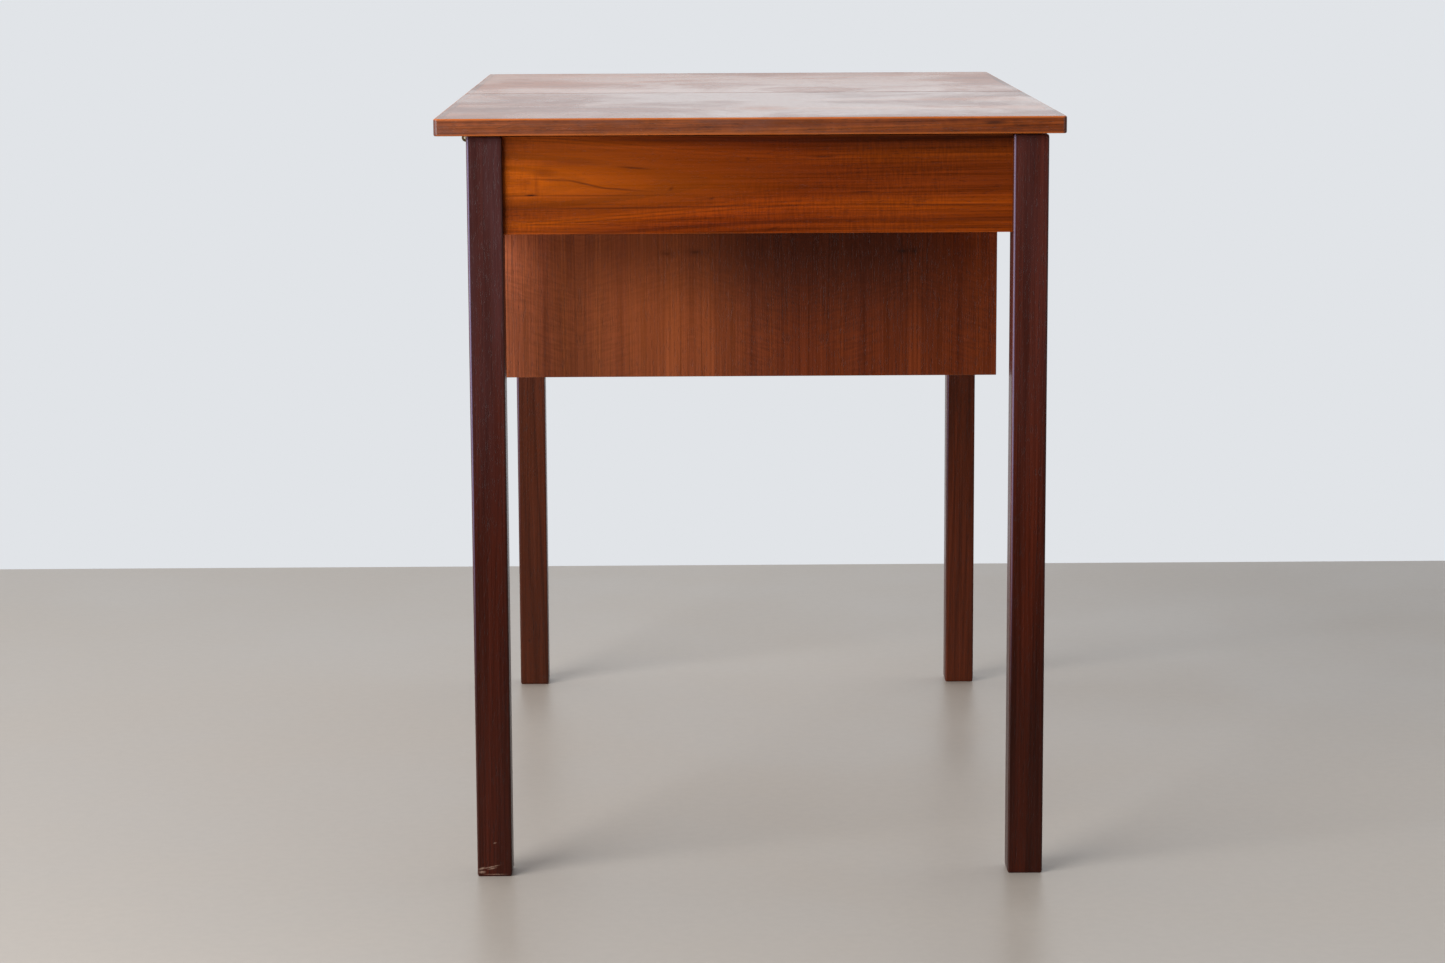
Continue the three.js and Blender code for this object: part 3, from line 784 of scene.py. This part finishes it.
def lipping_wood(name, seed):
    """The solid strips around the lids, worn to a bright line on the outer edges of the top."""
    board = Board(name, grain_of(name), seed)
    graph = Graph(name)
    colour, roughness, height = grow(graph, TEAK_EDGE, board)
    front = name == "front_lid_end_lipping"
    if front:
        colour = front_lipping_colour(graph, name, colour)
    colour, roughness = add_haze(graph, colour, roughness)

    # Each mark: where it is, its tone, and how much rougher it is.
    marks = [(outer_arris(graph, name), TEAK_EDGE.wear_tone, 0.3)]
    if front:
        # Painted shade on the rounded front corners, which are also rougher.
        marks.append((front_corner_shade(graph, name), (70, 30, 24), 0.35))
    if name == "rear_lid_seam_lipping":
        # Painted shade along the seam between the lids, stronger to the right.
        marks.append((seam_shade(graph, name), (104, 40, 22), 0.5))
    for mask, rgb, rougher in marks:
        colour = graph.mix(mask, colour, tone(*rgb))
        roughness = graph.total(roughness, graph.product(mask, rougher))
    return finish_wood(graph, TEAK_EDGE, board, colour, roughness, height)


# How pale each leg's wood is, with painted light on the rear legs; how much of that is left at its foot,
# a painted shade; how grey it is; and how strong the painted purple sheen is towards its top.
LEG_LOOKS = {
    "front_left_leg": (0.71, 0.9, 0.96, 0.46),
    "front_right_leg": (1.05, 0.54, 1.0, 0.22),
    "rear_left_leg": (1.22, 0.84, 1.38, 0.24),
    "rear_right_leg": (1.38, 1.0, 1.28, 0.2),
}
SCUFFED_LEG = "front_left_leg"
# The scuffs at its foot: millimetres from its left and from the floor, half length and half width in
# millimetres, slope and strength.
FOOT_SCUFFS = (
    (13, 9.5, 6, 0.45, 0.22, 0.65),
    (4, 8, 2.4, 0.8, 0.3, 0.6),
    (4.5, 4.5, 2.4, 1.1, 0.0, 0.6),
    (14, 8, 3.2, 0.6, 0.2, 0.5),
    (17, 2.2, 8, 0.4, 0.0, 0.45),
    (17, 33, 1.1, 0.5, 0.2, 0.5),
)


def arris_highlight(graph, name):
    """1 on a fine line down a leg's front face beside its left edge, fading towards the foot: a painted
    highlight on the rounded arris.
    """
    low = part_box(name)[0]
    point = graph.axes(graph.point)
    inwards = graph.math("SUBTRACT", point[X], low.x)
    return graph.product(
        graph.band(inwards, 0.5 * MM, 1.1 * MM),
        graph.band(inwards, 1.7 * MM, 2.5 * MM, 1.0, 0.0),
        graph.band(point[Y], low.y + 2.5 * MM, low.y + 4 * MM, 1.0, 0.0),
        graph.ramp(name, Z, 0.2, 0.7),
    )


def scuff_foot(graph, name, colour):
    """Flaky pale scratches at the foot."""
    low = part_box(name)[0]
    flaky = graph.band(graph.noise(graph.point, 900.0, 2.0), 0.35, 0.55, 0.4, 1.0)
    for right, up, length, width, slope, strength in FOOT_SCUFFS:
        place = low + Vector((right * MM, 0.0, up * MM))
        scuff = graph.streak(place, length * MM, width * MM, slope)
        colour = graph.stain(colour, graph.product(scuff, flaky), strength, (158, 130, 112))
    return colour


def leg_wood(name, seed):
    """Dark stained wood, browner towards the foot and darker there with painted shade, under a patchy
    painted purple sheen towards the top, with a painted highlight by its left edge.
    """
    board = Board(name, Z, seed)
    graph = Graph(name)
    colour, roughness, height = grow(graph, DARK_WOOD, board)
    pale, foot, grey, painted_sheen = LEG_LOOKS[name]
    # Painted shade: darker towards the foot and lighter towards the top.
    colour = graph.shade(colour, graph.ramp(name, Z, 0.142, 0.6, foot * pale, 1.1 * pale))
    lower = (1.0, 0.86 * grey, 0.66 * grey, 1.0)
    upper = (1.0, grey, grey, 1.0)
    colour = graph.tint(colour, graph.mix(graph.ramp(name, Z, 0.3, 0.8), lower, upper))
    # A patchy purple tint towards the top: a painted sheen of reflected light, strongest on the front-left
    # leg.
    patch = graph.noise(board.stretch(graph, graph.point, 9.0, 60.0, "painted_sheen"), detail=3.0)
    patch = graph.band(patch, 0.3, 0.65, 0.5, 1.3)
    haze = graph.product(graph.ramp(name, Z, 0.4, 1.0, 0.0, painted_sheen), patch)
    colour = graph.mix(haze, colour, tone(80, 50, 52))
    # Painted highlight: a lavender line beside the left arris.
    colour = graph.stain(colour, arris_highlight(graph, name), 0.72, (128, 116, 146))
    if name == SCUFFED_LEG:
        colour = scuff_foot(graph, name, colour)
    return finish_wood(graph, DARK_WOOD, board, colour, roughness, height)


PLIES = 5


def ply_sheet(name, seed):
    """Birch plywood: rotary-cut faces, and the plies in turn along its edges."""
    low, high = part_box(name)
    size = high - low
    thin = min(range(3), key=lambda axis: size[axis])
    board = Board(name, X if thin == Y else Y, seed)
    graph = Graph(name)
    colour, roughness, height = grow(graph, PLYWOOD, board)
    inwards = graph.math("SUBTRACT", graph.axes(graph.point)[thin], low[thin])
    wave = graph.math("SINE", graph.product(inwards, PLIES * math.pi / size[thin]))
    dark_ply = graph.band(wave, -0.5, -0.15, 1.0, 0.0)
    colour = graph.stain(colour, dark_ply, 0.6, (142, 98, 60))
    return finish_wood(graph, PLYWOOD, board, colour, roughness, height)


# ---------------------------------------------------------------- metal and rubber
def brass(name, seed):
    """Dull brass, tarnished in clouds and brushed. The pins are pale and bright."""
    graph = Graph(name)
    tarnish = graph.noise(graph.point, 160.0 + seed, 4.0, 0.6)
    colour = graph.mix(graph.band(tarnish, 0.3, 0.7), tone(108, 90, 64), tone(148, 126, 88))
    if name.endswith("_pin"):
        colour = tone(206, 196, 170)
    brushed = graph.noise(graph.scaled(1.0, 0.05, 1.0), 2600.0, 2.0)
    roughness = graph.band(tarnish, 0.3, 0.7, 0.48, 0.36)
    return graph.finish(colour, roughness, brushed, 0.00002, metallic=1.0)


def rubber(name, seed):
    graph = Graph(name)
    grain = graph.noise(graph.point, 900.0 + seed, 3.0, 0.6)
    colour = graph.mix(graph.band(grain, 0.3, 0.7), tone(30, 27, 25), tone(52, 46, 42))
    return graph.finish(colour, 0.8, grain, 0.00005)


# ---------------------------------------------------------------- screws
SCREW_HEAD = 3.1 * MM  # radius at the face
SCREW_NECK = 1.65 * MM  # radius where the head ends
SCREW_DEPTH = 1.45 * MM
SLOT_WIDTH = 0.8 * MM
SLOT_DEPTH = 0.75 * MM
SCREW_SUNK = 0.05 * MM  # how far a head lies below the face around it
SCREW_EASE = 0.08 * MM
ARC_STEPS = 14  # sides of half a screw head

HINGE_LEAF = 1.8 * MM  # thickness
HINGE_SCREW_PITCH = 17 * MM
HINGE_SCREW_INSET = 7 * MM  # from the screws' line to the leaf's free edge


def ring_points(radius, z, chord, side):
    """Points on the arc of a circle beyond the line y = side * chord, from one end to the other."""
    start = math.asin(chord / radius)
    points = []
    for step in range(ARC_STEPS + 1):
        angle = start + (math.pi - 2 * start) * step / ARC_STEPS
        points.append((radius * math.cos(angle), side * radius * math.sin(angle), z))
    return points


def add_prism(bm, lower, upper):
    """A closed solid between two outlines with the same number of points."""
    bottom = [bm.verts.new(point) for point in lower]
    top = [bm.verts.new(point) for point in upper]
    bm.faces.new(bottom[::-1])
    bm.faces.new(top)
    for i in range(len(top)):
        j = (i + 1) % len(top)
        bm.faces.new((bottom[i], bottom[j], top[j], top[i]))


def screw_head(turn):
    """A slotted countersunk head with its face at z = 0, looking up. Its two lands are separate."""
    bm = bmesh.new()
    slope = (SCREW_HEAD - SCREW_NECK) / SCREW_DEPTH
    waist = SCREW_HEAD - slope * SLOT_DEPTH
    full = 2 * ARC_STEPS
    neck, middle = [], []
    for step in range(full):
        angle = math.tau * step / full
        neck.append((SCREW_NECK * math.cos(angle), SCREW_NECK * math.sin(angle), -SCREW_DEPTH))
        middle.append((waist * math.cos(angle), waist * math.sin(angle), -SLOT_DEPTH))
    add_prism(bm, neck, middle)
    for side in (1, -1):
        lower = ring_points(waist, -SLOT_DEPTH, SLOT_WIDTH / 2, side)
        upper = ring_points(SCREW_HEAD, 0.0, SLOT_WIDTH / 2, side)
        add_prism(bm, lower, upper)
    bmesh.ops.recalc_face_normals(bm, faces=bm.faces)
    bmesh.ops.rotate(bm, verts=bm.verts, matrix=Matrix.Rotation(turn, 3, "Z"))
    return bm


def add_screws(name, places, outwards, body, seed):
    """One piece holding a screw head at each place, facing outwards."""
    mesh = bpy.data.meshes.new(name)
    whole = bmesh.new()
    aim = Vector(outwards).to_track_quat("Z", "Y").to_matrix().to_4x4()
    for number, place in enumerate(places):
        bm = screw_head(GOLDEN_ANGLE * (seed + number))
        sunk = Vector(place) - Vector(outwards) * SCREW_SUNK
        bm.transform(Matrix.Translation(sunk) @ aim)
        bm.to_mesh(mesh)
        bm.free()
        whole.from_mesh(mesh)
    whole.to_mesh(mesh)
    whole.free()
    piece = link(bpy.data.objects.new(name, mesh))
    bevel = piece.modifiers.new("bevel", "BEVEL")
    bevel.width = SCREW_EASE
    bevel.limit_method = "ANGLE"
    paint(piece, brass(name, seed))
    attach(piece, body)


def make_hinge_screws():
    """Three in each leaf: the rail leaves' face left, and the lid leaves' face down."""
    for lid in ("front_lid", "rear_lid"):
        for number in (1, 2):
            hinge = f"{lid}_hinge_{number}"
            low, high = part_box(f"{hinge}_rail_leaf")
            middle = (low.y + high.y) / 2
            rows = [middle + step * HINGE_SCREW_PITCH for step in (-1, 0, 1)]
            x, z = high.x - HINGE_LEAF, low.z + HINGE_SCREW_INSET
            add_screws(f"{hinge}_rail_screws", [(x, y, z) for y in rows], (-1, 0, 0), "frame",
                       number)
            low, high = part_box(f"{hinge}_lid_leaf")
            x, z = low.x + HINGE_SCREW_INSET, high.z - HINGE_LEAF
            add_screws(f"{hinge}_lid_screws", [(x, y, z) for y in rows], (0, 0, -1), lid,
                       number + 4)


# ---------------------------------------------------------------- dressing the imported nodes
# How far the edges of each material's pieces are rounded.
BEVELS = {
    "teak_top": 0.15 * MM,
    "teak_edge": 0.15 * MM,
    "teak_apron": 0.7 * MM,
    "teak_well": 0.6 * MM,
    "dark_leg_wood": 0.0,
    "inner_wood": 0.8 * MM,
    "plywood": 0.3 * MM,
    "brass_hinge": 0.2 * MM,
    "rubber_pad": 0.3 * MM,
}


def smooth_edges(obj, width):
    """Rounds the sharp edges by width and shades the rest smoothly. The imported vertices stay."""
    mesh = obj.data
    mesh.polygons.foreach_set("use_smooth", [True] * len(mesh.polygons))
    if "custom_normal" in mesh.attributes:
        mesh.attributes.remove(mesh.attributes["custom_normal"])
    weld = obj.modifiers.new("weld", "WELD")
    weld.merge_threshold = 0.01 * MM
    if width:
        bevel = obj.modifiers.new("bevel", "BEVEL")
        bevel.width = width
        bevel.segments = 3
        bevel.limit_method = "ANGLE"
        bevel.angle_limit = math.radians(40)
    normals = obj.modifiers.new("normals", "WEIGHTED_NORMAL")
    normals.keep_sharp = False
    normals.weight = 100


def paint(obj, material):
    obj.data.materials.clear()
    obj.data.materials.append(material)


def material_for(name, slot, seed):
    if name == "front_apron":
        return apron_wood(name, seed)
    if name == "well_front_panel":
        return well_front_wood(name, seed)
    if slot == "teak_well":
        return plain_wood(TEAK_WELL, Board(name, Z, seed))
    makers = {
        "teak_top": top_wood,
        "teak_edge": lipping_wood,
        "dark_leg_wood": leg_wood,
        "plywood": ply_sheet,
        "brass_hinge": brass,
        "rubber_pad": rubber,
    }
    if slot in makers:
        return makers[slot](name, seed)
    woods = {"teak_apron": TEAK_APRON, "inner_wood": BEECH}
    return plain_wood(woods[slot], Board(name, grain_of(name), seed))


def dress_nodes():
    slots = {part["node"]: part["material_slot"] for part in frame["record"]["subparts"]}
    for seed, name in enumerate(sorted(frame["nodes"])):
        obj = frame["nodes"][name]
        slot = slots[name]
        smooth_edges(obj, BEVELS[slot])
        paint(obj, material_for(name, slot, seed))


# ---------------------------------------------------------------- floor and light
def make_floor():
    mesh = bpy.data.meshes.new("floor")
    h = FLOOR_HALF
    mesh.from_pydata([(-h, -h, 0), (h, -h, 0), (h, h, 0), (-h, h, 0)], [], [(0, 1, 2, 3)])
    floor = link(bpy.data.objects.new("floor", mesh))
    graph = Graph("floor")
    cloud = graph.noise(graph.point, 2.2, 5.0, 0.6)
    speck = graph.noise(graph.point, 90.0, 3.0, 0.6)
    colour = graph.shade(tone(*FLOOR_TONE), graph.band(cloud, 0.3, 0.7, 0.96, 1.04))
    colour = graph.shade(colour, graph.band(speck, 0.3, 0.7, 0.985, 1.015))
    roughness = graph.band(cloud, 0.3, 0.7, 0.34, 0.46)
    paint(floor, graph.finish(colour, roughness))


def make_sky():
    """A pale surround. It lights the object mostly from behind, where a white wall would stand."""
    world = bpy.data.worlds.new("sky")
    world.use_nodes = True
    tree = world.node_tree
    background = tree.nodes["Background"]
    direction = tree.nodes.new("ShaderNodeTexCoord").outputs["Generated"]
    axes = tree.nodes.new("ShaderNodeSeparateXYZ")
    tree.links.new(direction, axes.inputs[0])
    falloff = tree.nodes.new("ShaderNodeMapRange")
    falloff.interpolation_type = "SMOOTHSTEP"
    tree.links.new(axes.outputs[Y], falloff.inputs["Value"])
    for key, value in zip(("From Min", "From Max", "To Min", "To Max"), (*SKY_CHANGE, *SKY_LIGHT)):
        falloff.inputs[key].default_value = value
    seen = tree.nodes.new("ShaderNodeLightPath").outputs["Is Camera Ray"]
    strength = tree.nodes.new("ShaderNodeMix")
    tree.links.new(seen, strength.inputs["Factor"])
    tree.links.new(falloff.outputs[0], strength.inputs["A"])
    strength.inputs["B"].default_value = 1.0
    tree.links.new(strength.outputs["Result"], background.inputs["Strength"])
    background.inputs["Color"].default_value = tone(*SKY_TONE)
    bpy.context.scene.world = world


def make_light(name, place, aim, size, power, colour):
    data = bpy.data.lights.new(name, "AREA")
    data.shape = "RECTANGLE"
    data.size, data.size_y = size
    data.energy = power
    data.color = colour
    light = link(bpy.data.objects.new(name, data))
    light.location = place
    light.rotation_euler = (Vector(aim) - Vector(place)).to_track_quat("-Z", "Y").to_euler()


def make_stage():
    make_floor()
    make_sky()
    for light in LIGHTS:
        make_light(*light)
    view = bpy.context.scene.view_settings
    view.view_transform = "Standard"
    view.look = "None"


make_camera()
dress_nodes()
make_hinge_screws()
make_stage()
